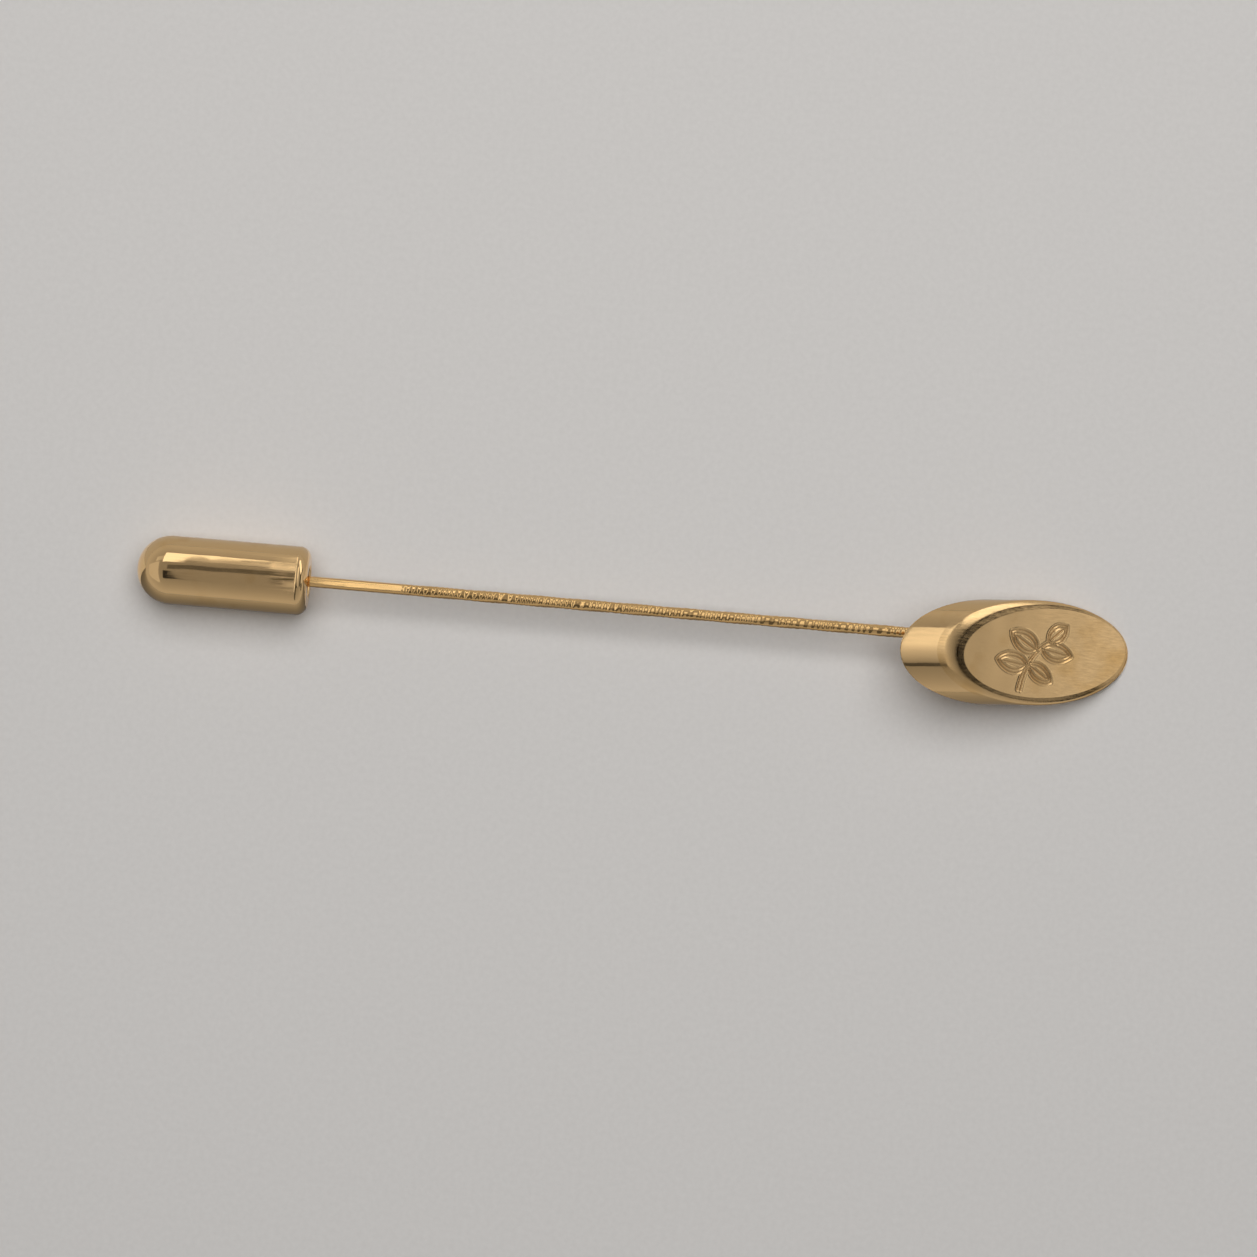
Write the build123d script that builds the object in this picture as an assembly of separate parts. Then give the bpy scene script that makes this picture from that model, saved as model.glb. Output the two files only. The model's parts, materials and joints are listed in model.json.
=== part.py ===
"""Stick pin with a slant-cut oval head and a bullet-shaped friction clutch, lying on its side.

The pin wire lies along X at one height. The clutch is at the low-X end and the head at the high-X end.
The head is a slice of an oval tube, cut on two parallel planes, with a plate over each end. It rests on
the lowest line of the tube, so its face looks up and away from the clutch.
All lengths are in millimetres and all angles in degrees.
"""

from build123d import *
import math
import os

# ---- the whole pin ----
OVERALL_LENGTH = 72.7          # clutch tip to the far edge of the head, along X

# ---- clutch ----
CLUTCH_RADIUS = 2.5
CLUTCH_LENGTH = 12.5
BARREL_WALL = 0.3
MOUTH_ROUNDING = 0.8           # outside radius of the rolled-in mouth
MOUTH_OPENING_RADIUS = 1.1
WASHER_THICKNESS = 0.4
WASHER_EDGE_GAP = 0.02
WASHER_HOLE_RADIUS = 0.5
SLEEVE_RUNNING_GAP = 0.05      # the barrel turns round the sleeve on this gap
SLEEVE_END_GAP = 0.25
SLEEVE_START = 2.8             # from the clutch tip
SLEEVE_WIRE_HOLE = 0.45
COLLET_START = 4.6
COLLET_RADIUS = 0.8
COLLET_WIRE_GAP = 0.02
COLLET_SLOT_WIDTH = 0.2
COLLET_SLOT_LENGTH = 4.0

# ---- pin wire ----
WIRE_RADIUS = 0.40
GRIP_RADIUS = 0.43             # outside of the twisted stretch
WIRE_TIP = 3.4                 # from the clutch tip to the ground point
POINT_LENGTH = 3.0
POINT_END_RADIUS = 0.05
GRIP_START = 19.2              # from the clutch tip to the start of the twist
GRIP_TAPER = 0.8               # at each end of the twist

# ---- head ----
HEAD_HALF_WIDTH = 3.82         # of the tube's oval section, level
HEAD_HALF_HEIGHT = 3.2         # of the tube's oval section, upright
CUT_ANGLE = 65.0               # of both cuts, away from square
HEAD_AXIAL_LENGTH = 3.9
HEAD_YAW = 4.2                 # of the tube's axis, seen from above, against the wire
HEAD_WALL = 0.45
FACE_PLATE_THICKNESS = 0.5
BACK_PLATE_THICKNESS = 0.4
BEVEL_DEPTH = 0.10
BEVEL_SIDE_INSET = 0.39
BEVEL_END_INSET = 0.66
WIRE_SIDE_OFFSET = 0.77        # of the wire from the middle of the head

# ---- pin socket ----
SOCKET_RADIUS = 0.85
SOCKET_LENGTH = 2.2            # along the wire, to the middle of its slanted end
SOLDER_GAP = 0.01

SPARE = 1.0                    # how far a rod or a cut runs past where it is trimmed

# ---- worked out from the values above ----
WIRE_HEIGHT = CLUTCH_RADIUS
CUT_COS = math.cos(math.radians(CUT_ANGLE))
CUT_SIN = math.sin(math.radians(CUT_ANGLE))
YAW_COS = math.cos(math.radians(HEAD_YAW))
YAW_SIN = math.sin(math.radians(HEAD_YAW))
HEAD_AXIS = Vector(YAW_COS, YAW_SIN, 0)
FACE_NORMAL = HEAD_AXIS * CUT_COS + Vector(0, 0, CUT_SIN)
FACE_LONG_DIR = HEAD_AXIS * CUT_SIN - Vector(0, 0, CUT_COS)
FACE_HALF_LENGTH = HEAD_HALF_HEIGHT / CUT_COS
HEAD_THICKNESS = HEAD_AXIAL_LENGTH * CUT_COS
HEAD_REACH = math.hypot(HEAD_HALF_HEIGHT * CUT_SIN / CUT_COS * YAW_COS, HEAD_HALF_WIDTH * YAW_SIN)

CLUTCH_TIP_X = -OVERALL_LENGTH / 2
FAR_EDGE_TO_CENTRE = HEAD_REACH + (HEAD_AXIAL_LENGTH / 2 - BEVEL_DEPTH / CUT_COS) * YAW_COS
HEAD_CENTRE = Vector(OVERALL_LENGTH / 2 - FAR_EDGE_TO_CENTRE, 0, HEAD_HALF_HEIGHT)
FRONT_CENTRE = HEAD_CENTRE + HEAD_AXIS * (HEAD_AXIAL_LENGTH / 2)
REAR_CENTRE = HEAD_CENTRE - HEAD_AXIS * (HEAD_AXIAL_LENGTH / 2)


def along_wire(distance):
    """A point on the wire's axis, this far from the clutch tip."""
    return Vector(CLUTCH_TIP_X + distance, WIRE_SIDE_OFFSET, WIRE_HEIGHT)


def turned(profile):
    """A ring or rod from its half-section: X from the clutch tip, Y out from the wire's axis."""
    solid = revolve(profile, axis=Axis.X)
    return solid.moved(Location(along_wire(0)))


def cut_oval(depth, side_inset, end_inset):
    """The head's slanted oval in a plane this deep under the face, its centre on the tube's axis."""
    centre = FRONT_CENTRE - HEAD_AXIS * (depth / CUT_COS)
    plane = Plane(origin=centre, x_dir=FACE_LONG_DIR, z_dir=FACE_NORMAL)
    return plane * Ellipse(FACE_HALF_LENGTH - end_inset, HEAD_HALF_WIDTH - side_inset)


def slanted_slice(depth_from, depth_to, wall):
    """A slice of the head's tube between two depths under the face, less this much all round."""
    outline = cut_oval(depth_to, wall, wall / CUT_COS)
    return extrude(outline, amount=(depth_to - depth_from) / CUT_COS, dir=HEAD_AXIS)


def head_wall():
    """The slanted ring of tube between the two plates, which also wraps the back plate's edge."""
    outer = slanted_slice(FACE_PLATE_THICKNESS, HEAD_THICKNESS, 0)
    inner = slanted_slice(FACE_PLATE_THICKNESS, HEAD_THICKNESS, HEAD_WALL)
    return outer - inner


def face_plate():
    """The plate over the front cut, with a shallow bevel all round its face."""
    edge = slanted_slice(BEVEL_DEPTH, FACE_PLATE_THICKNESS, 0)
    bevel = loft([cut_oval(BEVEL_DEPTH, 0, 0), cut_oval(0, BEVEL_SIDE_INSET, BEVEL_END_INSET)], ruled=True)
    return edge + bevel


def back_plate():
    """The plate inside the rear cut, flush with the tube's end."""
    return slanted_slice(HEAD_THICKNESS - BACK_PLATE_THICKNESS, HEAD_THICKNESS, HEAD_WALL)


# ---- where the wire meets the head's rear plane ----
REAR_PLANE = Plane(origin=REAR_CENTRE, x_dir=FACE_LONG_DIR, z_dir=FACE_NORMAL)
SOCKET_END = (
    REAR_CENTRE.X - CLUTCH_TIP_X
    + (REAR_CENTRE.Z - WIRE_HEIGHT) * CUT_SIN / (CUT_COS * YAW_COS)
    - (WIRE_SIDE_OFFSET - REAR_CENTRE.Y) * YAW_SIN / YAW_COS
)
SOCKET_START = SOCKET_END - SOCKET_LENGTH
ROD_END = SOCKET_END + SOCKET_RADIUS * CUT_SIN / CUT_COS + SPARE


def up_to_head(solid):
    """What is left of a rod once the part beyond the head's rear plane is cut away."""
    return split(solid, bisect_by=REAR_PLANE, keep=Keep.BOTTOM)


def half_section(points):
    return make_face(Polyline(points, close=True))


def pin_wire():
    """Ground point, smooth stretch, twisted grip stretch, and the plain end in the socket."""
    profile = half_section([
        (WIRE_TIP, 0),
        (WIRE_TIP, POINT_END_RADIUS),
        (WIRE_TIP + POINT_LENGTH, WIRE_RADIUS),
        (GRIP_START, WIRE_RADIUS),
        (GRIP_START + GRIP_TAPER, GRIP_RADIUS),
        (SOCKET_START - GRIP_TAPER, GRIP_RADIUS),
        (SOCKET_START, WIRE_RADIUS),
        (ROD_END, WIRE_RADIUS),
        (ROD_END, 0),
    ])
    return up_to_head(turned(profile))


def pin_socket():
    """The collar soldered to the back plate, which the wire stands in."""
    bore = WIRE_RADIUS + SOLDER_GAP
    profile = half_section([
        (SOCKET_START, bore),
        (SOCKET_START, SOCKET_RADIUS),
        (ROD_END, SOCKET_RADIUS),
        (ROD_END, bore),
    ])
    return up_to_head(turned(profile))


BARREL_BORE = CLUTCH_RADIUS - BARREL_WALL
LIP_INSIDE = CLUTCH_LENGTH - BARREL_WALL
WASHER_FACE = LIP_INSIDE - WASHER_THICKNESS
SLEEVE_END = WASHER_FACE - SLEEVE_END_GAP


def barrel_side(radius, rounding, end):
    """One side of the drawn cup's wall, from the dome's pole to the edge of its rolled-in mouth."""
    shoulder = end - rounding
    dome = CenterArc((CLUTCH_RADIUS, 0), radius, 90, 90)
    side = Line((CLUTCH_RADIUS, radius), (shoulder, radius))
    mouth = CenterArc((shoulder, radius - rounding), rounding, 0, 90)
    lip = Line((end, radius - rounding), (end, MOUTH_OPENING_RADIUS))
    return dome, side, mouth, lip


def clutch_barrel():
    """The drawn cup: a round dome, a straight barrel and a mouth rolled in over the washer."""
    outside = barrel_side(CLUTCH_RADIUS, MOUTH_ROUNDING, CLUTCH_LENGTH)
    inside = barrel_side(BARREL_BORE, MOUTH_ROUNDING - BARREL_WALL, LIP_INSIDE)
    pole = Line((0, 0), (BARREL_WALL, 0))
    lip_edge = Line((CLUTCH_LENGTH, MOUTH_OPENING_RADIUS), (LIP_INSIDE, MOUTH_OPENING_RADIUS))
    return turned(make_face([pole, lip_edge, *outside, *inside]))


def mouth_washer():
    """The washer behind the rolled-in mouth, which guides the wire in."""
    edge = CLUTCH_RADIUS - MOUTH_ROUNDING - WASHER_EDGE_GAP
    profile = half_section([
        (WASHER_FACE, WASHER_HOLE_RADIUS),
        (WASHER_FACE, edge),
        (LIP_INSIDE, edge),
        (LIP_INSIDE, WASHER_HOLE_RADIUS),
    ])
    return turned(profile)


def grip_sleeve():
    """The nylon sleeve that holds the collet and presses it on the wire."""
    profile = half_section([
        (SLEEVE_START, SLEEVE_WIRE_HOLE),
        (SLEEVE_START, BARREL_BORE - SLEEVE_RUNNING_GAP),
        (SLEEVE_END, BARREL_BORE - SLEEVE_RUNNING_GAP),
        (SLEEVE_END, COLLET_RADIUS),
        (COLLET_START, COLLET_RADIUS),
        (COLLET_START, SLEEVE_WIRE_HOLE),
    ])
    return turned(profile)


def grip_collet():
    """The slit metal tube whose fingers grip the wire."""
    bore = WIRE_RADIUS + COLLET_WIRE_GAP
    profile = half_section([
        (COLLET_START, bore),
        (COLLET_START, COLLET_RADIUS),
        (SLEEVE_END, COLLET_RADIUS),
        (SLEEVE_END, bore),
    ])
    tube = turned(profile)
    slot_middle = along_wire(SLEEVE_END - COLLET_SLOT_LENGTH / 2)
    across = 2 * COLLET_RADIUS + SPARE
    for size in ((COLLET_SLOT_WIDTH, across), (across, COLLET_SLOT_WIDTH)):
        tube -= Pos(slot_middle) * Box(COLLET_SLOT_LENGTH, *size)
    return tube


NODES = {
    "head_wall": head_wall,
    "face_plate": face_plate,
    "back_plate": back_plate,
    "pin_socket": pin_socket,
    "pin_wire": pin_wire,
    "clutch_barrel": clutch_barrel,
    "mouth_washer": mouth_washer,
    "grip_sleeve": grip_sleeve,
    "grip_collet": grip_collet,
}

os.makedirs("parts", exist_ok=True)
for name, make in NODES.items():
    solid = make()
    solid.label = name
    export_step(solid, f"parts/{name}.step")
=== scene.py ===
"""The looks of a stick pin: gold head with an engraved sprig, grip-textured wire and bullet clutch.

Shapes are given in millimetres in the part's own frame and turned into metres when a mesh is made.
+X runs along the wire from the clutch to the head, and +Z is up from the surface it lies on.
"""

import json
import math

import bmesh
import bpy
import numpy as np
from mathutils import Matrix, Vector

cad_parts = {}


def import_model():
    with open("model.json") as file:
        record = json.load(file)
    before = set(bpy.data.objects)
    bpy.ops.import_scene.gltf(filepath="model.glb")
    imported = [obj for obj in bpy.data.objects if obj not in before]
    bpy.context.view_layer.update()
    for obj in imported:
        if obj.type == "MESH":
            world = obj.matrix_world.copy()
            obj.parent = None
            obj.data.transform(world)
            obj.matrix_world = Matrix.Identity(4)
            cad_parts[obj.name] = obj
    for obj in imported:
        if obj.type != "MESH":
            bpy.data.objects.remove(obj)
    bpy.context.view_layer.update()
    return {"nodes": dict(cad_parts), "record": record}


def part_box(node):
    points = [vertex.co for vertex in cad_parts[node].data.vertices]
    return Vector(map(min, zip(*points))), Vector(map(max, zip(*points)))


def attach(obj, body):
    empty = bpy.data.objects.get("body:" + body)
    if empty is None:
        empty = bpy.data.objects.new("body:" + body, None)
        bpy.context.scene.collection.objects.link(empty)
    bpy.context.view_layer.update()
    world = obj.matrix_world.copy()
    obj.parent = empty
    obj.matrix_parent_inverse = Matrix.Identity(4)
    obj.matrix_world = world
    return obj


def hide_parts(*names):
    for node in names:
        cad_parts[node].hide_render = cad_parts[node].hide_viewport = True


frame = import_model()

MM = 0.001

# ---- sizes in millimetres, the same as the CAD part's apart from the bevel's ----
DOME_RADIUS = 2.5
BARREL_WALL = 0.3
MOUTH_ROUNDING = 0.8
MOUTH_OPENING = 1.1
WASHER_THICKNESS = 0.4
WASHER_RADIUS = 1.68
WASHER_HOLE = 0.5
WIRE_RADIUS = 0.40
GRIP_RADIUS = 0.43
POINT_LENGTH = 3.0
SMOOTH_LENGTH = 15.8           # from the tip to the start of the twist
GRIP_TAPER = 0.8
HEAD_HALF_WIDTH = 3.82
HEAD_WALL = 0.45
HEAD_AXIAL_LENGTH = 3.9
FACE_PLATE_THICKNESS = 0.5
BACK_PLATE_THICKNESS = 0.4
BEVEL_DEPTH = 0.12             # the CAD's bevel is a little narrower and less deep
BEVEL_SIDE_INSET = 0.62
BEVEL_END_INSET = 0.80
FLAT_TURN = math.radians(3.0)  # the flat of the face is hand-finished: a little turned and off centre
FLAT_SHIFT = (0.06, -0.03)     # along the face and across it
SOCKET_RADIUS = 0.85
SOCKET_BORE = 0.41


def box_mm(node):
    low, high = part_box(node)
    return np.array(low) / MM, np.array(high) / MM


def mount(name):
    return next(m for m in frame["record"]["mounts"] if m["name"] == name)


# ---- where things are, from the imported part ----
WIRE_LOW, WIRE_HIGH = box_mm("pin_wire")
WIRE_AXIS = (WIRE_LOW + WIRE_HIGH) / 2
CLUTCH_LOW, CLUTCH_HIGH = box_mm("clutch_barrel")
SOCKET_LOW, _ = box_mm("pin_socket")
WASHER_LOW, _ = box_mm("mouth_washer")
HEAD_LOW, HEAD_HIGH = box_mm("head_wall")
HEAD_HALF_HEIGHT = (HEAD_HIGH[2] - HEAD_LOW[2]) / 2

FACE_CENTRE = np.array(mount("face")["pos_m"]) / MM
FACE_NORMAL = np.array(mount("face")["axis"])
UP = np.array([0.0, 0.0, 1.0])
HEAD_AXIS = FACE_NORMAL * [1, 1, 0] / np.linalg.norm(FACE_NORMAL[:2])
CUT_COS = float(FACE_NORMAL @ HEAD_AXIS)
CUT_SIN = float(FACE_NORMAL @ UP)
ACROSS = np.cross(UP, HEAD_AXIS)
FACE_LONG = HEAD_AXIS * CUT_SIN - UP * CUT_COS
FACE_HALF_LENGTH = HEAD_HALF_HEIGHT / CUT_COS
FLAT_HALF_LENGTH = FACE_HALF_LENGTH - BEVEL_END_INSET
FLAT_HALF_WIDTH = HEAD_HALF_WIDTH - BEVEL_SIDE_INSET


# ---- mesh helpers ----
MERGE_DISTANCE = 1e-8          # metres


def build(name, points, faces, body, replaced, crease=20.0):
    """A smooth-shaded piece from points in millimetres, with doubled points merged.

    Edges that bend by more than crease, in degrees, stay sharp.
    """
    mesh = bpy.data.meshes.new(name)
    mesh.from_pydata((np.asarray(points) * MM).tolist(), [], faces)
    made = bmesh.new()
    made.from_mesh(mesh)
    bmesh.ops.remove_doubles(made, verts=made.verts, dist=MERGE_DISTANCE)
    bmesh.ops.recalc_face_normals(made, faces=made.faces)
    made.to_mesh(mesh)
    made.free()
    mesh.polygons.foreach_set("use_smooth", [True] * len(mesh.polygons))
    mesh.set_sharp_from_angle(angle=math.radians(crease))
    piece = bpy.data.objects.new(name, mesh)
    bpy.context.scene.collection.objects.link(piece)
    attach(piece, body)
    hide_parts(replaced)
    return piece


def strip_faces(rows, columns, wrap_rows=False):
    """Quads over a grid of points whose rows are closed rings. wrap_rows joins the last row to the first."""
    last = rows if wrap_rows else rows - 1
    r, c = np.meshgrid(np.arange(last), np.arange(columns), indexing="ij")
    across = (c + 1) % columns
    down = (r + 1) % rows
    r, down = r * columns, down * columns
    quads = np.stack([r + c, r + across, down + across, down + c], -1)
    return quads.reshape(-1, 4).tolist()


def arc(centre_x, centre_r, radius, start, end, steps):
    """Points (x, r) on an arc, with angles in degrees from the +X direction."""
    turns = np.radians(np.linspace(start, end, steps))
    return [(centre_x + radius * math.cos(a), centre_r + radius * math.sin(a)) for a in turns]


def line(start, end, steps):
    return [tuple(p) for p in np.linspace(start, end, steps)]


def curve(start, corner, end, steps):
    """A smooth quadratic bend from start to end, pulled towards corner."""
    t = np.linspace(0, 1, steps)[:, None]
    a, b, c = (np.asarray(p, float) for p in (start, corner, end))
    return a * (1 - t) ** 2 + b * 2 * t * (1 - t) + c * t ** 2


def lathe(profile, origin, segments):
    """Points of a profile of (x, r) turned round a line parallel to X through origin."""
    x, r = np.array(profile, float).T
    turn = np.linspace(0, 2 * math.pi, segments, endpoint=False)
    grid = np.empty((len(x), segments, 3))
    grid[..., 0] = origin[0] + x[:, None]
    grid[..., 1] = origin[1] + r[:, None] * np.cos(turn)
    grid[..., 2] = origin[2] + r[:, None] * np.sin(turn)
    return grid.reshape(-1, 3)


# ---- clutch ----
CLUTCH_ORIGIN = np.array([CLUTCH_LOW[0], WIRE_AXIS[1], WIRE_AXIS[2]])
BARREL_SEGMENTS = 192
WASHER_SEGMENTS = 96
SHADING_GUARD = 0.04           # a last short ring, so that the straight side is shaded straight up to it


def clutch_barrel():
    """The drawn cup, with its dome, straight side, rolled mouth and rounded lip."""
    length = CLUTCH_HIGH[0] - CLUTCH_LOW[0]
    shoulder = length - MOUTH_ROUNDING
    bore = DOME_RADIUS - BARREL_WALL
    lip = BARREL_WALL / 2
    profile = arc(DOME_RADIUS, 0, DOME_RADIUS, 180, 90, 40)
    profile += line((DOME_RADIUS, DOME_RADIUS), (shoulder - SHADING_GUARD, DOME_RADIUS), 12)[1:]
    profile.append((shoulder, DOME_RADIUS))
    profile += arc(shoulder, DOME_RADIUS - MOUTH_ROUNDING, MOUTH_ROUNDING, 90, 0, 20)[1:]
    profile += arc(length - lip, MOUTH_OPENING + lip, lip, 0, -180, 12)
    profile += arc(shoulder, bore - MOUTH_ROUNDING + BARREL_WALL, MOUTH_ROUNDING - BARREL_WALL, 0, 90, 10)
    profile += line((shoulder, bore), (DOME_RADIUS, bore), 4)[1:]
    profile += arc(DOME_RADIUS, 0, bore, 90, 180, 16)[1:]
    points = lathe(profile, CLUTCH_ORIGIN, BARREL_SEGMENTS)
    return build("clutch_barrel_shell", points, strip_faces(len(profile), BARREL_SEGMENTS),
                 "clutch_shell", "clutch_barrel", crease=35)


def mouth_washer():
    """The guide washer behind the lip, with a countersunk hole."""
    sink = 0.12
    profile = [
        (0, WASHER_HOLE + sink), (0, WASHER_RADIUS), (WASHER_THICKNESS, WASHER_RADIUS),
        (WASHER_THICKNESS, WASHER_HOLE + sink), (WASHER_THICKNESS - sink, WASHER_HOLE),
        (sink, WASHER_HOLE),
    ]
    origin = np.array([WASHER_LOW[0], WIRE_AXIS[1], WIRE_AXIS[2]])
    points = lathe(profile, origin, WASHER_SEGMENTS)
    faces = strip_faces(len(profile), WASHER_SEGMENTS, wrap_rows=True)
    return build("mouth_washer_ring", points, faces, "clutch_shell", "mouth_washer", crease=25)


# ---- wire ----
TWIST_LEAD = 14.4              # one full turn of the four flats
FLAT_DEPTH = 0.022
RIDGE_PITCH = 0.46
RIDGE_DEPTH = 0.016
WIRE_SEGMENTS = 56
GRIP_RING_STEP = 0.052         # between rings of points where the ridges are


def rear_plane_x(y, z):
    """Where a line along X through this point meets the head's rear plane."""
    rear = FACE_CENTRE - HEAD_AXIS * HEAD_AXIAL_LENGTH
    slope = FACE_NORMAL[1] * (rear[1] - y) + FACE_NORMAL[2] * (rear[2] - z)
    return rear[0] + slope / FACE_NORMAL[0]


def pin_wire():
    """Ground point, bright smooth stretch, and the twisted stretch with its fine spiral ridges."""
    tip = WIRE_LOW[0]
    grip_from = tip + SMOOTH_LENGTH
    grip_to = SOCKET_LOW[0]
    x = np.concatenate([
        tip + POINT_LENGTH * np.linspace(0, 1, 14) ** 2,
        np.linspace(tip + POINT_LENGTH + 0.2, grip_from, 24),
        np.arange(grip_from + 0.05, grip_to, GRIP_RING_STEP),
        [grip_to],
    ])
    point = np.clip((x - tip) / POINT_LENGTH, 0, 1)
    plain = WIRE_RADIUS * np.sqrt(point * (2 - point)) * (0.55 + 0.45 * point)
    plain = np.where(x >= tip + POINT_LENGTH, WIRE_RADIUS, plain)
    ease = np.clip(np.minimum(x - grip_from, grip_to - x) / GRIP_TAPER, 0, 1)
    turn = np.linspace(0, 2 * math.pi, WIRE_SEGMENTS, endpoint=False)
    flats = (1 - np.cos(4 * (turn - 2 * math.pi * x[:, None] / TWIST_LEAD))) / 2
    wander = 0.35 * np.sin(x * 0.9) + 0.25 * np.sin(x * 2.3)
    ridges = (1 - np.cos(turn + 2 * math.pi * (x + wander * RIDGE_PITCH)[:, None] / RIDGE_PITCH)) / 2
    radius = plain[:, None] + ease[:, None] * (
        GRIP_RADIUS - WIRE_RADIUS - FLAT_DEPTH * flats - RIDGE_DEPTH * ridges
    )
    grid = np.empty((len(x), WIRE_SEGMENTS, 3))
    grid[..., 0] = x[:, None]
    grid[..., 1] = WIRE_AXIS[1] + radius * np.cos(turn)
    grid[..., 2] = WIRE_AXIS[2] + radius * np.sin(turn)
    foot = grid[-1].copy()
    foot[:, 0] = [rear_plane_x(y, z) for _, y, z in foot]
    foot_middle = np.tile([rear_plane_x(*WIRE_AXIS[1:]), *WIRE_AXIS[1:]], (WIRE_SEGMENTS, 1))
    points = np.concatenate([grid.reshape(-1, 3), foot, foot_middle])
    faces = strip_faces(len(x) + 2, WIRE_SEGMENTS)
    return build("pin_wire_twist", points, faces, "pin", "pin_wire", crease=60)


def pin_socket():
    """The collar on the back of the head, with a rounded mouth and a solder fillet at its foot."""
    segments = 96
    fillet_height = 0.5
    fillet_width = 0.32
    turn = np.linspace(0, 2 * math.pi, segments, endpoint=False)
    mouth_round = 0.12
    rings = []

    def ring(radius, from_mouth=None, from_plate=None):
        y = WIRE_AXIS[1] + radius * np.cos(turn)
        z = WIRE_AXIS[2] + radius * np.sin(turn)
        plate = np.array([rear_plane_x(*yz) for yz in zip(y, z)])
        x = np.minimum(SOCKET_LOW[0] + from_mouth, plate) if from_plate is None else plate - from_plate
        rings.append(np.stack([x, y, z], -1))

    ring(SOCKET_BORE, from_plate=0.0)
    ring(SOCKET_BORE, from_mouth=mouth_round)
    for x, r in arc(mouth_round, SOCKET_RADIUS - mouth_round, mouth_round, 180, 90, 6):
        ring(r, from_mouth=x)
    for height in np.linspace(fillet_height, 0, 9):
        flare = fillet_width * (1 - height / fillet_height) ** 2.2
        ring(SOCKET_RADIUS + flare, from_plate=height)
    points = np.concatenate(rings)
    faces = strip_faces(len(rings), segments, wrap_rows=True)
    return build("pin_socket_collar", points, faces, "pin", "pin_socket", crease=50)


# ---- head ----
HEAD_SEGMENTS = 480
REAR_EDGE = 0.14               # how far the rear edge is softened
END_WALL = HEAD_WALL / CUT_COS
FILL_DEPTH = 0.10              # the solder round the back plate: a hollow beside the wall, and its width
FILL_WIDTH = 0.16


def oval(turn, drop, side_inset=0.0, end_inset=0.0):
    """Points of the slanted oval, this far down the head's axis from the face."""
    along = (FACE_HALF_LENGTH - end_inset) * np.cos(turn)
    across = (HEAD_HALF_WIDTH - side_inset) * np.sin(turn)
    centre = FACE_CENTRE - HEAD_AXIS * drop
    return centre + np.outer(along, FACE_LONG) + np.outer(across, ACROSS)


def head_wall():
    """The slanted ring of tube behind the face plate, with its rear edge softened."""
    turn = np.linspace(0, 2 * math.pi, HEAD_SEGMENTS, endpoint=False)
    top = FACE_PLATE_THICKNESS / CUT_COS
    rear = HEAD_AXIAL_LENGTH
    rings = [oval(turn, drop) for drop in np.linspace(top, rear - REAR_EDGE, 10)]
    for inset, drop in curve((0, rear - REAR_EDGE), (0, rear), (REAR_EDGE / 2, rear), 12)[1:]:
        rings.append(oval(turn, drop, inset, inset / CUT_COS))
    rings.append(oval(turn, rear, HEAD_WALL, END_WALL))
    rings.append(oval(turn, top, HEAD_WALL, END_WALL))
    points = np.concatenate(rings)
    faces = strip_faces(len(rings), HEAD_SEGMENTS, wrap_rows=True)
    return build("head_wall_ring", points, faces, "pin", "head_wall")


def back_plate():
    """The plate in the head's back, with a solder-filled edge a hair below the wall's end."""
    turn = np.linspace(0, 2 * math.pi, HEAD_SEGMENTS, endpoint=False)
    rear = HEAD_AXIAL_LENGTH
    low = rear - FILL_DEPTH
    top = rear - BACK_PLATE_THICKNESS / CUT_COS
    rings = [oval(turn, top, HEAD_HALF_WIDTH, FACE_HALF_LENGTH)]
    rings.append(oval(turn, top, HEAD_WALL, END_WALL))
    rings.append(oval(turn, low, HEAD_WALL, END_WALL))
    for inset, drop in curve((0, low), (FILL_DEPTH, low), (FILL_WIDTH, rear), 6)[1:]:
        rings.append(oval(turn, drop, HEAD_WALL + inset, END_WALL + inset / CUT_COS))
    rings.append(oval(turn, rear, HEAD_HALF_WIDTH, FACE_HALF_LENGTH))
    faces = strip_faces(len(rings), HEAD_SEGMENTS)
    return build("back_plate_disc", np.concatenate(rings), faces, "pin", "back_plate")


# ---- engraving: a leaf sprig in thin double lines, drawn in millimetres on the face ----
GROOVE_HALF_WIDTH = 0.12
GROOVE_DEPTH = 0.06
BURR_HEIGHT = 0.012
BURR_PLACE = 1.3               # and its spread, both in groove half-widths from the line's middle
BURR_SPREAD = 0.35
STROKE_REACH = 0.4             # beyond this from a stroke the face is flat
LINE_SPACING = 0.26


def bezier(*controls, steps=28):
    """A cubic curve through the face's own coordinates: u along the face, v across it."""
    a, b, c, d = (np.array(p, float) for p in controls)
    t = np.linspace(0, 1, steps)[:, None]
    return a * (1 - t) ** 3 + 3 * b * t * (1 - t) ** 2 + 3 * c * t ** 2 * (1 - t) + d * t ** 3


def beside(path, distance):
    """The same path moved sideways, tapering to nothing at its far end."""
    along = np.gradient(path, axis=0)
    along /= np.linalg.norm(along, axis=1)[:, None]
    taper = np.sqrt(np.linspace(1, 0, len(path)))[:, None]
    return path + np.stack([-along[:, 1], along[:, 0]], -1) * distance * taper


def leaf(base, heading, length, width):
    """A pointed leaf: two edges, each with a second line inside it, and a midrib."""
    base = np.array(base, float)
    ahead = np.array([math.cos(math.radians(heading)), math.sin(math.radians(heading))])
    side = np.array([-ahead[1], ahead[0]])

    def at(forward, sideways=0):
        return base + ahead * length * forward + side * width * sideways

    strokes = [bezier(base, at(0.3), at(0.5), at(0.8))]
    for way in (1, -1):
        strokes.append(bezier(base, at(0.2, way), at(0.75, 0.9 * way), at(1)))
        strokes.append(bezier(at(0.08), at(0.24, 0.66 * way), at(0.70, 0.60 * way), at(0.9)))
    return strokes


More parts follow.
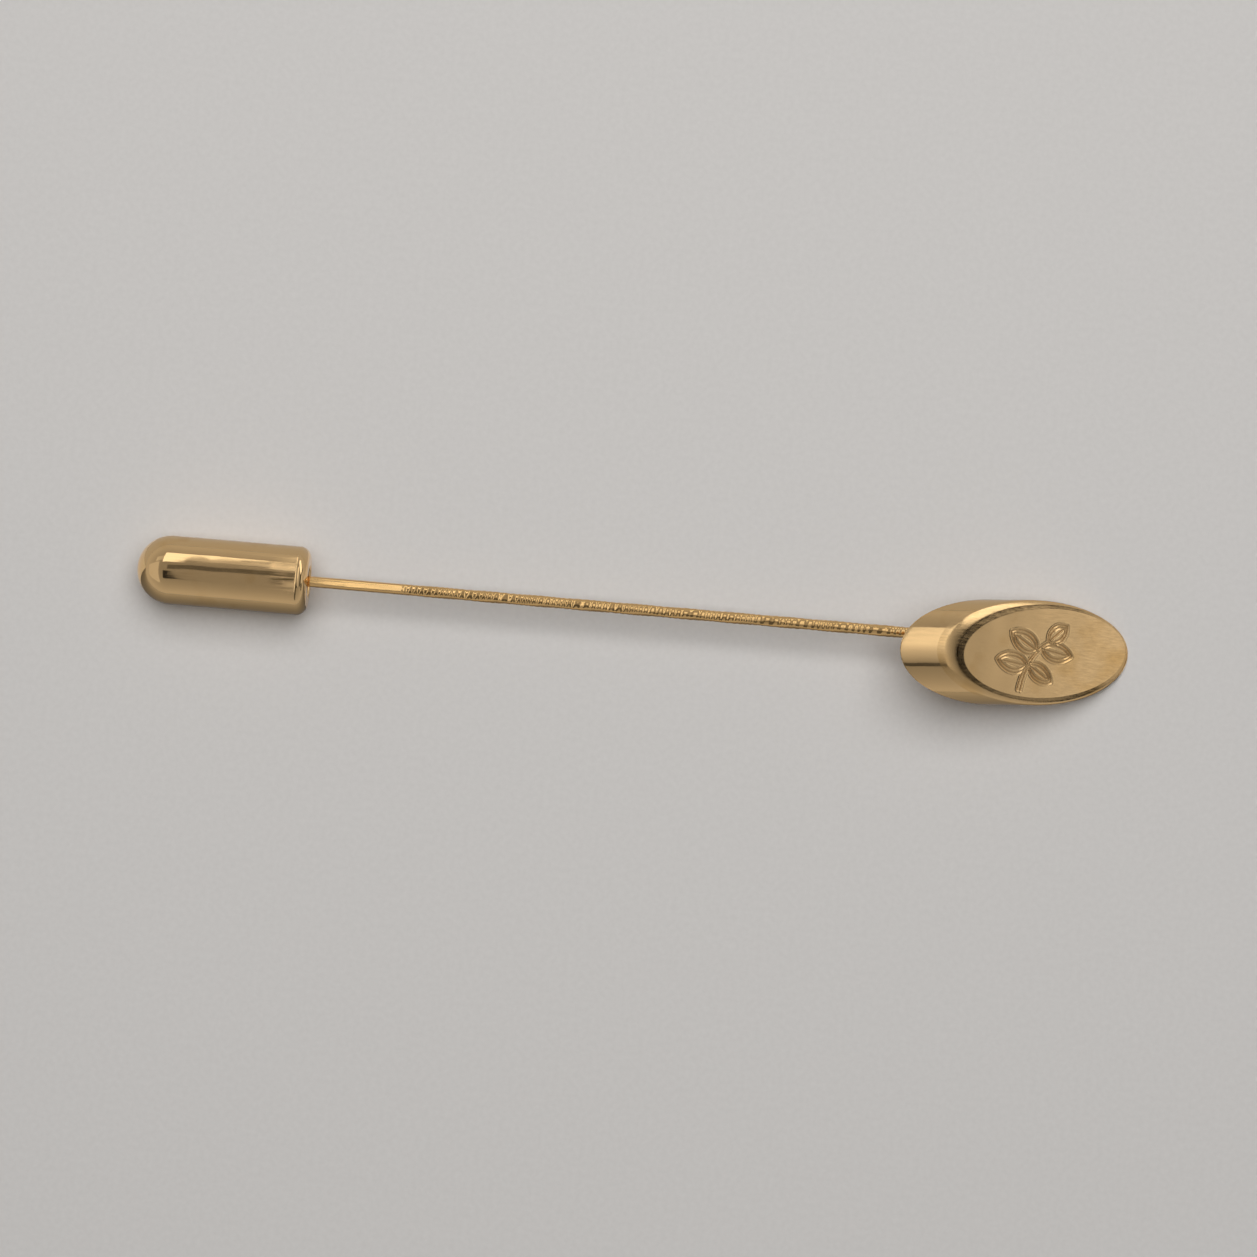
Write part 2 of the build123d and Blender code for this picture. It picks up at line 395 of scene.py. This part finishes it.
def sprig():
    """Every stroke of the ornament."""
    stem = bezier((-2.0, -2.75), (-1.75, -1.6), (-1.2, -0.3), (0.35, 0.75), steps=40)
    strokes = [stem, beside(stem, LINE_SPACING)]
    strokes += leaf((0.35, 0.75), 38, 2.0, 0.85)
    strokes += leaf((-0.55, 0.10), 148, 2.6, 1.05)
    strokes += leaf((-0.25, 0.30), -12, 2.6, 0.95)
    strokes += leaf((-1.40, -0.95), 170, 2.6, 1.00)
    strokes += leaf((-1.35, -0.85), -34, 2.3, 0.85)
    return strokes


def distance_to_strokes(points, strokes):
    """For each point, how far it is from the nearest stroke."""
    nearest = np.full(len(points), 1e9)
    for stroke in strokes:
        low, high = stroke.min(0) - STROKE_REACH, stroke.max(0) + STROKE_REACH
        close = np.flatnonzero(np.all((points > low) & (points < high), axis=1))
        for start, end in zip(stroke[:-1], stroke[1:]):
            run = end - start
            away = points[close] - start
            t = np.clip(away @ run / (run @ run), 0, 1)
            gap = np.linalg.norm(away - t[:, None] * run, axis=1)
            nearest[close] = np.minimum(nearest[close], gap)
    return nearest


def engraved_depth(u, v):
    """Height of the face at these places: grooves below zero, with a slight burr beside them."""
    points = np.stack([u, v], -1)
    gap = distance_to_strokes(points, sprig()) / GROOVE_HALF_WIDTH
    groove = -GROOVE_DEPTH * (1 + np.cos(math.pi * np.clip(gap, 0, 1))) / 2
    burr = BURR_HEIGHT * np.exp(-((gap - BURR_PLACE) / BURR_SPREAD) ** 2)
    return groove + burr


FINE_CELL = 0.031              # mesh size under the engraving
COARSE_CELL = 0.14             # and elsewhere on the face
ENGRAVED_ALONG = (-4.4, 3.0)   # the stretch of the face that gets the fine mesh
ENGRAVED_ACROSS = (-3.1, 2.4)


def spaced(fine, half):
    """Grid lines from -1 to 1 that are close together where the engraving is."""
    start, end = fine
    runs = ((-half, start, COARSE_CELL), (start, end, FINE_CELL), (end, half, COARSE_CELL))
    lines = [np.linspace(a, b, max(2, round((b - a) / cell) + 1))[:-1] for a, b, cell in runs]
    return np.append(np.concatenate(lines), half) / half


EDGE_BLEND = 0.60              # the part of the bevel's width taken up by the rounded edge
EDGE_SOFTNESS = 0.50           # how far the rounding runs down the side
FLAT_EDGE_STEP = 0.02          # the flat turns into the bevel over three narrow rings, ever steeper
FLAT_EDGE_DROP = 0.003


def onto_face(u, v, amount=1.0):
    """Turns and shifts the flat's own coordinates into the face's, by this much of the full amount."""
    turn = FLAT_TURN * amount
    along = u * math.cos(turn) - v * math.sin(turn) + FLAT_SHIFT[0] * amount
    across = u * math.sin(turn) + v * math.cos(turn) + FLAT_SHIFT[1] * amount
    return along, across


def bevel_ring(turn, inset, drop):
    """Points round the bevel. inset runs from 0 at its outer edge to 1 at the flat."""
    u = (FACE_HALF_LENGTH - BEVEL_END_INSET * inset) * np.cos(turn)
    v = (HEAD_HALF_WIDTH - BEVEL_SIDE_INSET * inset) * np.sin(turn)
    along, across = onto_face(u, v, inset)
    return FACE_CENTRE - HEAD_AXIS * drop + np.outer(along, FACE_LONG) + np.outer(across, ACROSS)


def bevel_section():
    """The rim from the flat's edge to the plate's underside: each ring's inset and drop."""
    edge_drop = BEVEL_DEPTH / CUT_COS
    under = FACE_PLATE_THICKNESS / CUT_COS
    rings = [(1 - FLAT_EDGE_STEP * step, edge_drop * FLAT_EDGE_DROP * step ** 2) for step in range(4)]
    # The 0.5 ring is out of order and folds a very narrow strip.
    rings += [(inset, edge_drop * (1 - inset)) for inset in (0.8, 0.5, EDGE_BLEND)]
    end = (0, edge_drop + EDGE_SOFTNESS)
    rings += [tuple(p) for p in curve(rings[-1], (0, edge_drop), end, 14)[1:]]
    rings += [(0, drop) for drop in np.linspace(end[1], under, 4)[1:]]
    return rings + [(1, under)]


def face_plate():
    """The bevelled oval plate whose top is a fine grid, so that the engraving is real relief."""
    along = spaced(ENGRAVED_ALONG, FLAT_HALF_LENGTH)
    across = spaced(ENGRAVED_ACROSS, FLAT_HALF_WIDTH)
    s, t = np.meshgrid(along, across, indexing="ij")
    disc_s = s * np.sqrt(1 - t ** 2 / 2)
    disc_t = t * np.sqrt(1 - s ** 2 / 2)
    u, v = onto_face(disc_s * FLAT_HALF_LENGTH, disc_t * FLAT_HALF_WIDTH)
    height = engraved_depth(u.ravel(), v.ravel()).reshape(u.shape)
    height[[0, -1], :] = 0
    height[:, [0, -1]] = 0
    top = FACE_CENTRE + u[..., None] * FACE_LONG + v[..., None] * ACROSS + height[..., None] * FACE_NORMAL

    index = np.arange(u.size).reshape(u.shape)
    quads = np.stack([index[:-1, :-1], index[1:, :-1], index[1:, 1:], index[:-1, 1:]], -1)
    faces = quads.reshape(-1, 4).tolist()
    border = np.concatenate([index[:-1, 0], index[-1, :-1], index[:0:-1, -1], index[0, :0:-1]])
    turn = np.arctan2(disc_t.ravel()[border], disc_s.ravel()[border])
    rings = bevel_section()
    points = [top.reshape(-1, 3)]
    points += [bevel_ring(turn, inset, drop) for inset, drop in rings]
    bottom = FACE_CENTRE - HEAD_AXIS * FACE_PLATE_THICKNESS / CUT_COS
    points.append(np.tile(bottom, (len(turn), 1)))
    skirt = np.array(strip_faces(len(rings) + 1, len(turn))) + u.size
    faces += skirt.tolist()
    piece = build("face_plate_engraved", np.concatenate(points), faces, "pin", "face_plate")
    note_engraving(piece.data)
    return piece


def note_engraving(mesh):
    """Gives the rim the second material, and stores how deep the engraving is at each point."""
    centres = np.empty(len(mesh.polygons) * 3)
    mesh.polygons.foreach_get("center", centres)
    inside, _ = on_the_flat(centres.reshape(-1, 3) / MM)
    mesh.polygons.foreach_set("material_index", np.where(inside, 0, 1).astype(np.int32))
    corners = np.empty(len(mesh.vertices) * 3)
    mesh.vertices.foreach_get("co", corners)
    inside, depth = on_the_flat(corners.reshape(-1, 3) / MM)
    engraved = mesh.attributes.new("engraved", "FLOAT", "POINT")
    engraved.data.foreach_set("value", np.where(inside, np.clip(depth / GROOVE_DEPTH, 0, 1), 0))


def on_the_flat(points):
    """Whether each point is on the flat of the face, and how far it is below it."""
    offset = points - FACE_CENTRE
    along = offset @ FACE_LONG - FLAT_SHIFT[0]
    across = offset @ ACROSS - FLAT_SHIFT[1]
    u = (along * math.cos(FLAT_TURN) + across * math.sin(FLAT_TURN)) / FLAT_HALF_LENGTH
    v = (across * math.cos(FLAT_TURN) - along * math.sin(FLAT_TURN)) / FLAT_HALF_WIDTH
    depth = -(offset @ FACE_NORMAL)
    return (u * u + v * v < 1) & (depth < FACE_PLATE_THICKNESS / 2), depth


# ---- materials ----
GOLD = (0.90, 0.61, 0.30, 1.0)
GOLD_WARM = (0.90, 0.58, 0.25, 1.0)
GOLD_DEEP = (0.80, 0.50, 0.20, 1.0)
GOLD_TARNISHED = (0.42, 0.25, 0.10, 1.0)


def new_material(name, metallic, roughness, colour):
    """A node material, with what is needed to add to it: its nodes, links, shader and coordinates."""
    material = bpy.data.materials.new(name)
    material.use_nodes = True
    nodes, links = material.node_tree.nodes, material.node_tree.links
    shader = nodes["Principled BSDF"]
    shader.inputs["Metallic"].default_value = metallic
    shader.inputs["Roughness"].default_value = roughness
    shader.inputs["Base Color"].default_value = colour
    coords = nodes.new("ShaderNodeTexCoord")
    return material, nodes, links, shader, coords


def noise(nodes, links, coords, scale, detail=3.0, stretch=(1, 1, 1)):
    """Noise over the object's own coordinates. scale is features per metre."""
    mapping = nodes.new("ShaderNodeMapping")
    mapping.inputs["Scale"].default_value = stretch
    links.new(coords.outputs["Object"], mapping.inputs["Vector"])
    texture = nodes.new("ShaderNodeTexNoise")
    texture.inputs["Scale"].default_value = scale
    texture.inputs["Detail"].default_value = detail
    links.new(mapping.outputs["Vector"], texture.inputs["Vector"])
    return texture.outputs["Fac"]


def ramp(nodes, links, value, low, high):
    """Value between two stops, each (position, colour)."""
    colours = nodes.new("ShaderNodeValToRGB")
    for element, (position, colour) in zip(colours.color_ramp.elements, (low, high)):
        element.position = position
        element.color = colour
    links.new(value, colours.inputs["Fac"])
    return colours.outputs["Color"]


def grey(value):
    return (value, value, value, 1.0)


def bump(nodes, links, heights, shader):
    """Bumps chained in order. Each is (height, strength, distance in metres)."""
    normal = None
    for height, strength, distance in heights:
        node = nodes.new("ShaderNodeBump")
        node.inputs["Strength"].default_value = strength
        node.inputs["Distance"].default_value = distance
        links.new(height, node.inputs["Height"])
        if normal is not None:
            links.new(normal, node.inputs["Normal"])
        normal = node.outputs["Normal"]
    links.new(normal, shader.inputs["Normal"])


def gold(name, roughness, scratch_stretch, wave, scratch, colour_low=GOLD_DEEP, colour_high=GOLD):
    """Gold plate on brass: cloudy wear, fine directional scratches and a slight waviness."""
    material, nodes, links, shader, coords = new_material(name, 1.0, roughness, colour_high)
    cloud = noise(nodes, links, coords, 420.0, 4.0)
    links.new(ramp(nodes, links, cloud, (0.18, colour_low), (0.42, colour_high)), shader.inputs["Base Color"])
    scratches = noise(nodes, links, coords, 1.0, 2.0, scratch_stretch)
    rough = ramp(nodes, links, scratches, (0.35, grey(roughness * 0.75)), (0.70, grey(roughness * 1.6)))
    links.new(rough, shader.inputs["Roughness"])
    waves = noise(nodes, links, coords, 330.0, 1.0)
    bump(nodes, links, [(waves, wave, 4e-4), (scratches, scratch, 1e-5)], shader)
    return material


def engraved_gold():
    """The face: fine satin lines left by polishing, and darker metal in the grooves."""
    material, nodes, links, shader, coords = new_material("gold_face", 1.0, 0.16, GOLD)
    cloud = noise(nodes, links, coords, 300.0, 5.0)
    worn = ramp(nodes, links, cloud, (0.25, GOLD_DEEP), (0.48, GOLD))
    depth = nodes.new("ShaderNodeAttribute")
    depth.attribute_name = "engraved"
    tarnish = nodes.new("ShaderNodeMix")
    tarnish.data_type = "RGBA"
    in_groove = ramp(nodes, links, depth.outputs["Fac"], (0.1, grey(0.0)), (0.8, grey(0.55)))
    links.new(in_groove, tarnish.inputs["Factor"])
    links.new(worn, tarnish.inputs["A"])
    tarnish.inputs["B"].default_value = GOLD_TARNISHED
    links.new(tarnish.outputs["Result"], shader.inputs["Base Color"])
    satin = noise(nodes, links, coords, 1.0, 3.0, (900.0, 9000.0, 3000.0))
    rough = ramp(nodes, links, satin, (0.30, grey(0.11)), (0.72, grey(0.24)))
    links.new(rough, shader.inputs["Roughness"])
    waves = noise(nodes, links, coords, 260.0, 1.0)
    bump(nodes, links, [(waves, 0.06, 4e-4), (satin, 0.10, 1e-5)], shader)
    return material


def nylon():
    """Off-white moulded nylon with a fine grain."""
    material, nodes, links, shader, coords = new_material("nylon", 0.0, 0.45, (0.78, 0.76, 0.70, 1.0))
    cloud = noise(nodes, links, coords, 600.0, 4.0)
    colours = ramp(nodes, links, cloud, (0.3, (0.70, 0.68, 0.60, 1.0)), (0.7, (0.82, 0.80, 0.74, 1.0)))
    links.new(colours, shader.inputs["Base Color"])
    grain = noise(nodes, links, coords, 9000.0, 2.0)
    shader.inputs["Subsurface Weight"].default_value = 0.15
    shader.inputs["Subsurface Scale"].default_value = 0.0005
    bump(nodes, links, [(grain, 0.25, 1e-5)], shader)
    return material


def dull_metal(name, dark, light, roughness):
    """Plain stamped metal with a rolled grain and dull patches."""
    material, nodes, links, shader, coords = new_material(name, 1.0, roughness, light)
    cloud = noise(nodes, links, coords, 900.0, 5.0)
    links.new(ramp(nodes, links, cloud, (0.3, dark), (0.7, light)), shader.inputs["Base Color"])
    grain = noise(nodes, links, coords, 1.0, 3.0, (3000.0, 12000.0, 3000.0))
    rough = ramp(nodes, links, grain, (0.3, grey(roughness * 0.7)), (0.7, grey(roughness * 1.3)))
    links.new(rough, shader.inputs["Roughness"])
    bump(nodes, links, [(grain, 0.3, 1e-5)], shader)
    return material


def finish_with(piece, slot, *materials):
    piece.data.materials.clear()
    for material in materials:
        piece.data.materials.append(material)


HEAD_GOLD = gold("gold_head", 0.07, (700.0, 5000.0, 5000.0), 0.03, 0.06)
BARREL_GOLD = gold("gold_barrel", 0.065, (500.0, 7000.0, 7000.0), 0.08, 0.12)
WIRE_GOLD = gold("gold_wire", 0.08, (900.0, 9000.0, 9000.0), 0.03, 0.15, GOLD_DEEP, GOLD_WARM)
BACK_GOLD = gold("gold_back", 0.22, (2500.0, 5000.0, 2500.0), 0.12, 0.25)

finish_with(head_wall(), "gold_plate", HEAD_GOLD)
finish_with(face_plate(), "gold_face", engraved_gold(), HEAD_GOLD)
finish_with(back_plate(), "gold_plate", BACK_GOLD)
finish_with(pin_socket(), "gold_plate", BACK_GOLD)
finish_with(pin_wire(), "gold_wire", WIRE_GOLD)
finish_with(clutch_barrel(), "gold_barrel", BARREL_GOLD)
finish_with(mouth_washer(), "washer_steel",
            dull_metal("washer_steel", (0.16, 0.12, 0.08, 1.0), (0.34, 0.28, 0.20, 1.0), 0.4))
for node, material in (
    ("grip_sleeve", nylon()),
    ("grip_collet", dull_metal("bronze", (0.42, 0.24, 0.12, 1.0), (0.66, 0.42, 0.24, 1.0), 0.35)),
):
    mesh = frame["nodes"][node].data
    mesh.materials.clear()
    mesh.materials.append(material)


# ---- stage, in metres: floor, lights, reflection cards and camera ----
FLOOR_HALF = 1.5


def rectangle(x0, x1, y0, y1):
    return [(x0, y0), (x1, y0), (x1, y1), (x0, y1)]


def level_quad(name, corners, height):
    mesh = bpy.data.meshes.new(name)
    mesh.from_pydata([(x, y, height) for x, y in corners], [], [(0, 1, 2, 3)])
    return mesh


def floor():
    """The pale paper that the pin lies on."""
    mesh = level_quad("floor", rectangle(-FLOOR_HALF, FLOOR_HALF, -FLOOR_HALF, FLOOR_HALF), 0)
    piece = bpy.data.objects.new("floor", mesh)
    bpy.context.scene.collection.objects.link(piece)
    material, nodes, links, shader, coords = new_material("paper", 0.0, 0.9, (0.76, 0.735, 0.71, 1.0))
    fibres = noise(nodes, links, coords, 2500.0, 4.0)
    colours = ramp(nodes, links, fibres, (0.3, (0.745, 0.72, 0.695, 1.0)), (0.7, (0.775, 0.75, 0.725, 1.0)))
    links.new(colours, shader.inputs["Base Color"])
    shader.inputs["Specular IOR Level"].default_value = 0.2
    bump(nodes, links, [(fibres, 0.15, 5e-5)], shader)
    mesh.materials.append(material)


CARD_HEIGHT = 0.200            # of most cards. A lower card hides the higher ones from the metal.
UNDER_CARDS = 0.199
WELL_UNDER_CARDS = 0.198
LOWEST_CARD = 0.197
OVER_CARDS = 0.201
ON_THE_FLOOR = 0.0001
CARD_TINT = (1.0, 0.985, 0.965, 1.0)


def hang(name, mesh, strength):
    """Puts up a card that only shows in reflections. strength(nodes, links) gives a number or a socket."""
    piece = bpy.data.objects.new(name, mesh)
    bpy.context.scene.collection.objects.link(piece)
    material = bpy.data.materials.new(name)
    material.use_nodes = True
    nodes, links = material.node_tree.nodes, material.node_tree.links
    nodes.clear()
    glow = nodes.new("ShaderNodeEmission")
    glow.inputs["Color"].default_value = CARD_TINT
    value = strength(nodes, links)
    if isinstance(value, float):
        glow.inputs["Strength"].default_value = value
    else:
        links.new(value, glow.inputs["Strength"])
    output = nodes.new("ShaderNodeOutputMaterial")
    links.new(glow.outputs["Emission"], output.inputs["Surface"])
    mesh.materials.append(material)
    piece.visible_camera = False
    piece.visible_diffuse = False
    piece.visible_shadow = False


def card(name, corners, brightness, height=CARD_HEIGHT):
    """A level, evenly bright card. Corners are (x, y) in metres, in order."""
    hang(name, level_quad(name, corners, height), lambda nodes, links: brightness)


def faded_card(name, corners, axis, stops, height=CARD_HEIGHT):
    """A level card whose brightness runs through stops, each (place, brightness), along an axis."""
    hang(name, level_quad(name, corners, height), lambda nodes, links: faded(nodes, links, axis, stops))


def ribbon(name, rungs, height):
    """A level strip made of rungs, each (near end, far end, brightness)."""
    mesh = bpy.data.meshes.new(name)
    ends = [(x, y, height) for near, far, _ in rungs for x, y in (near, far)]
    mesh.from_pydata(ends, [], [(i, i + 1, i + 3, i + 2) for i in range(0, len(ends) - 2, 2)])
    glow = mesh.attributes.new("glow", "FLOAT", "POINT")
    glow.data.foreach_set("value", [brightness for _, _, brightness in rungs for _ in range(2)])

    def strength(nodes, links):
        attribute = nodes.new("ShaderNodeAttribute")
        attribute.attribute_name = "glow"
        return attribute.outputs["Fac"]

    hang(name, mesh, strength)


def faded(nodes, links, axis, stops):
    """Brightness between (place, brightness) stops along one axis."""
    coords = nodes.new("ShaderNodeTexCoord")
    parts = nodes.new("ShaderNodeSeparateXYZ")
    links.new(coords.outputs["Object"], parts.inputs["Vector"])
    first, last = stops[0][0], stops[-1][0]
    along = nodes.new("ShaderNodeMapRange")
    along.inputs["From Min"].default_value = first
    along.inputs["From Max"].default_value = last
    links.new(parts.outputs[axis], along.inputs["Value"])
    shade = nodes.new("ShaderNodeValToRGB")
    while len(shade.color_ramp.elements) < len(stops):
        shade.color_ramp.elements.new(0.5)
    for element, (place, brightness) in zip(shade.color_ramp.elements, stops):
        element.position = (place - first) / (last - first)
        element.color = grey(brightness)
    links.new(along.outputs["Result"], shade.inputs["Fac"])
    return shade.outputs["Color"]


CAMERA_TARGET = np.array([-0.00044, -0.00065, 0.0025])
CAMERA_DISTANCE = 0.28
PICTURE_WIDTH = 0.09126        # what the picture takes in, at the target
CAMERA_ELEVATION = math.radians(88)
CAMERA_ROLL = math.radians(4.9)
CAMERA_RIGHT = np.array([math.cos(CAMERA_ROLL), math.sin(CAMERA_ROLL), 0])
CAMERA_BACK = UP * math.sin(CAMERA_ELEVATION) - np.cross(UP, CAMERA_RIGHT) * math.cos(CAMERA_ELEVATION)
EYE = CAMERA_TARGET + CAMERA_BACK * CAMERA_DISTANCE

LEFT, MIDDLE, RIGHT = -0.0405, 0.024, 0.082     # the clutch, the wire and the head mirror these in turn


def clutch_cards():
    """A window strip and a dark line along the barrel, and the bright and dark spots at its ends."""
    faded_card("clutch_strip", [(-0.30, 0.110), (LEFT, 0.135), (LEFT, 0.200), (-0.30, 0.220)], "X",
               ((-0.30, 0.60), (-0.066, 0.40), (-0.055, 0.50), (LEFT, 0.42)))
    card("clutch_glint", rectangle(-0.140, -0.0615, 0.090, 0.300), 1.35, height=UNDER_CARDS)
    card("clutch_line", [(LEFT, 0.030), (LEFT, 0.085), (-0.070, 0.040), (-0.070, -0.012)], 0.11)
    card("mouth_glint", [(-0.0468, 0.105), (-0.0448, 0.105), (-0.0563, 0.300), (-0.0583, 0.300)], 1.50,
         height=UNDER_CARDS)
    card("mouth_spot", [(-0.0456, -0.085), (-0.0436, -0.085), (-0.0424, 0.010), (-0.0444, 0.010)], 0.0,
         height=UNDER_CARDS)
    card("dome_spot", rectangle(-0.120, -0.0625, -0.125, -0.025), 0.03)
    card("left_board", rectangle(-0.80, -0.19, -0.25, 0.10), 0.55)


def wire_cards():
    """A bright board behind the wire and a dark one in front of it."""
    split = -0.024
    faded_card("wire_board_left", [(LEFT, -0.24), (split, -0.05), (split, 1.0), (LEFT, 1.0)], "X",
               ((LEFT, 1.25), (-0.030, 1.0), (split, 0.66)))
    faded_card("wire_board", [(split, -0.05), (MIDDLE, -0.015), (MIDDLE, 0.50), (split, 0.50)], "X",
               ((split, 0.66), (-0.016, 0.38), (0.006, 0.24), (MIDDLE, 0.42)))
    card("wire_board_far", [(-0.053, 0.30), (split, 0.30), (split, 1.4), (-0.135, 1.4)], 1.1,
         height=UNDER_CARDS)
    card("wire_shade", [(LEFT, -0.60), (MIDDLE, -0.60), (MIDDLE, -0.03), (LEFT, -0.08)], 0.09,
         height=OVER_CARDS)


# the brightness that the bevel mirrors, by its turn round the face in degrees
RIM_GLOW = ((48, 0.24), (60, 0.18), (72, 0.06), (120, 0.06), (156, 0.01), (180, 0.0), (216, 0.03),
            (240, 0.10), (252, 0.16), (276, 0.21))
# the window beyond it: turn, how far out it reaches, and brightness
RIM_WINDOW = ((144, 2.0, 0.7), (132, 3.0, 1.7), (120, 4.5, 1.2), (108, 6.0, 1.6), (96, 6.0, 1.6))
RIM_TURNS = range(276, 47, -12)
RIM_NEAR, RIM_FAR = 0.72, 1.26 # the dark shape's two edges, as parts of the way out to what the bevel mirrors
RIM_WINDOW_NEAR = 1.25


def mirrored(place, normal, height=CARD_HEIGHT):
    """Where the camera sees a level card of this height mirrored, in metal at place that faces normal."""
    view = place - EYE
    away = view - 2 * (view @ normal) * normal
    return (place + away * (height - place[2]) / away[2])[:2]


def bevel_mirrors(turn):
    """Where the middle of the bevel's width, at this turn round the face, mirrors the cards."""
    outer_drop = BEVEL_DEPTH / CUT_COS
    inner = bevel_ring(turn, 1.0, 0.0)[0]
    outer = bevel_ring(turn, 0.0, outer_drop)[0]
    tangent = bevel_ring(turn + 0.01, 0.0, outer_drop)[0] - outer
    normal = np.cross(outer - inner, tangent)
    normal /= math.copysign(np.linalg.norm(normal), normal @ FACE_NORMAL)
    return mirrored((inner + outer) / 2 * MM, normal)


def from_face_spot(place, factor):
    """The place moved away from what the face mirrors, or towards it where factor is below 1."""
    spot = mirrored(FACE_CENTRE * MM, FACE_NORMAL)
    return tuple(spot + (place - spot) * factor)


def rim_rungs(rows, near):
    """Rungs for a ribbon from (turn in degrees, how far out it reaches, brightness) rows."""
    rungs = []
    for degrees, reach, glow in rows:
        place = bevel_mirrors(math.radians(degrees))
        rungs.append((from_face_spot(place, near), from_face_spot(place, reach), glow))
    return rungs


def rim_cards():
    """The dark shape that the bevel mirrors, round what the face mirrors, and the window outside it."""
    dark = [(degrees, RIM_FAR, float(np.interp(degrees, *zip(*RIM_GLOW)))) for degrees in RIM_TURNS]
    ribbon("rim_dark", rim_rungs(dark, RIM_NEAR), WELL_UNDER_CARDS)
    ribbon("rim_window", rim_rungs(RIM_WINDOW, RIM_WINDOW_NEAR), UNDER_CARDS)
    ribbon("rim_fade", [
        ((0.062, -0.10), (0.062, 0.10), 0.60), ((0.100, -0.10), (0.100, 0.10), 0.38),
        ((0.175, -0.10), (0.175, 0.105), 0.15), ((0.212, -0.08), (0.212, 0.080), 0.05),
    ], UNDER_CARDS)
    card("rim_spot", [(0.395, -0.250), (0.620, -0.300), (0.540, -0.060), (0.395, -0.050)], 0.0,
         height=LOWEST_CARD)
    card("face_board", rectangle(0.318, 0.45, -0.12, 0.18), 0.70)


def reflection_cards():
    """What the polished metal mirrors: window strips, bright boards and a few dark shapes."""
    clutch_cards()
    wire_cards()
    faded_card("head_board", rectangle(MIDDLE, RIGHT, -0.07, 0.20), "Y",
               ((-0.07, 0.30), (0.0, 0.60), (0.05, 0.98), (0.20, 0.98)))
    card("head_line", rectangle(MIDDLE, RIGHT, -0.105, -0.078), 0.07)
    rim_cards()
    faded_card("front_shade", rectangle(-0.40, 0.40, -0.30, -0.0012), "Y",
               ((-0.30, 0.40), (-0.030, 0.33), (-0.012, 0.26), (-0.005, 0.18), (-0.0012, 0.12)), ON_THE_FLOOR)
    card("back_shade", rectangle(-0.40, 0.40, 0.0042, 0.30), 0.42, height=ON_THE_FLOOR)


def soft_light(name, position, size, power):
    """An even overhead light, which the metal doesn't mirror."""
    data = bpy.data.lights.new(name, "AREA")
    data.shape = "SQUARE"
    data.size = size
    data.energy = power
    lamp = bpy.data.objects.new(name, data)
    bpy.context.scene.collection.objects.link(lamp)
    lamp.location = position
    lamp.rotation_mode = "QUATERNION"
    lamp.rotation_quaternion = (-Vector(position)).to_track_quat("-Z", "Y")
    lamp.visible_glossy = False


def world(overhead, horizon):
    """A pale room, darker overhead than at the sides. The lamp lights the floor, not the room."""
    room = bpy.data.worlds.new("room")
    bpy.context.scene.world = room
    room.use_nodes = True
    nodes, links = room.node_tree.nodes, room.node_tree.links
    coords = nodes.new("ShaderNodeTexCoord")
    parts = nodes.new("ShaderNodeSeparateXYZ")
    links.new(coords.outputs["Generated"], parts.inputs["Vector"])
    links.new(ramp(nodes, links, parts.outputs["Z"], (0.15, horizon), (0.85, overhead)),
              nodes["Background"].inputs["Color"])
    room.cycles_visibility.diffuse = False


def camera():
    """Looks down on the pin, from nearly straight above."""
    data = bpy.data.cameras.new("camera")
    data.sensor_width = 36.0
    data.lens = data.sensor_width * CAMERA_DISTANCE / PICTURE_WIDTH
    data.clip_start, data.clip_end = 0.01, 10.0
    eye = bpy.data.objects.new("camera", data)
    bpy.context.scene.collection.objects.link(eye)
    turn = Matrix((CAMERA_RIGHT, np.cross(CAMERA_BACK, CAMERA_RIGHT), CAMERA_BACK)).transposed()
    eye.rotation_mode = "QUATERNION"
    eye.rotation_quaternion = turn.to_quaternion()
    eye.location = EYE
    bpy.context.scene.camera = eye


floor()
world(overhead=(0.27, 0.265, 0.26, 1.0), horizon=(0.46, 0.45, 0.44, 1.0))
soft_light("overhead", (0.0, 0.11, 0.40), 0.42, 1.66)
reflection_cards()
camera()
bpy.context.scene.view_settings.view_transform = "Standard"
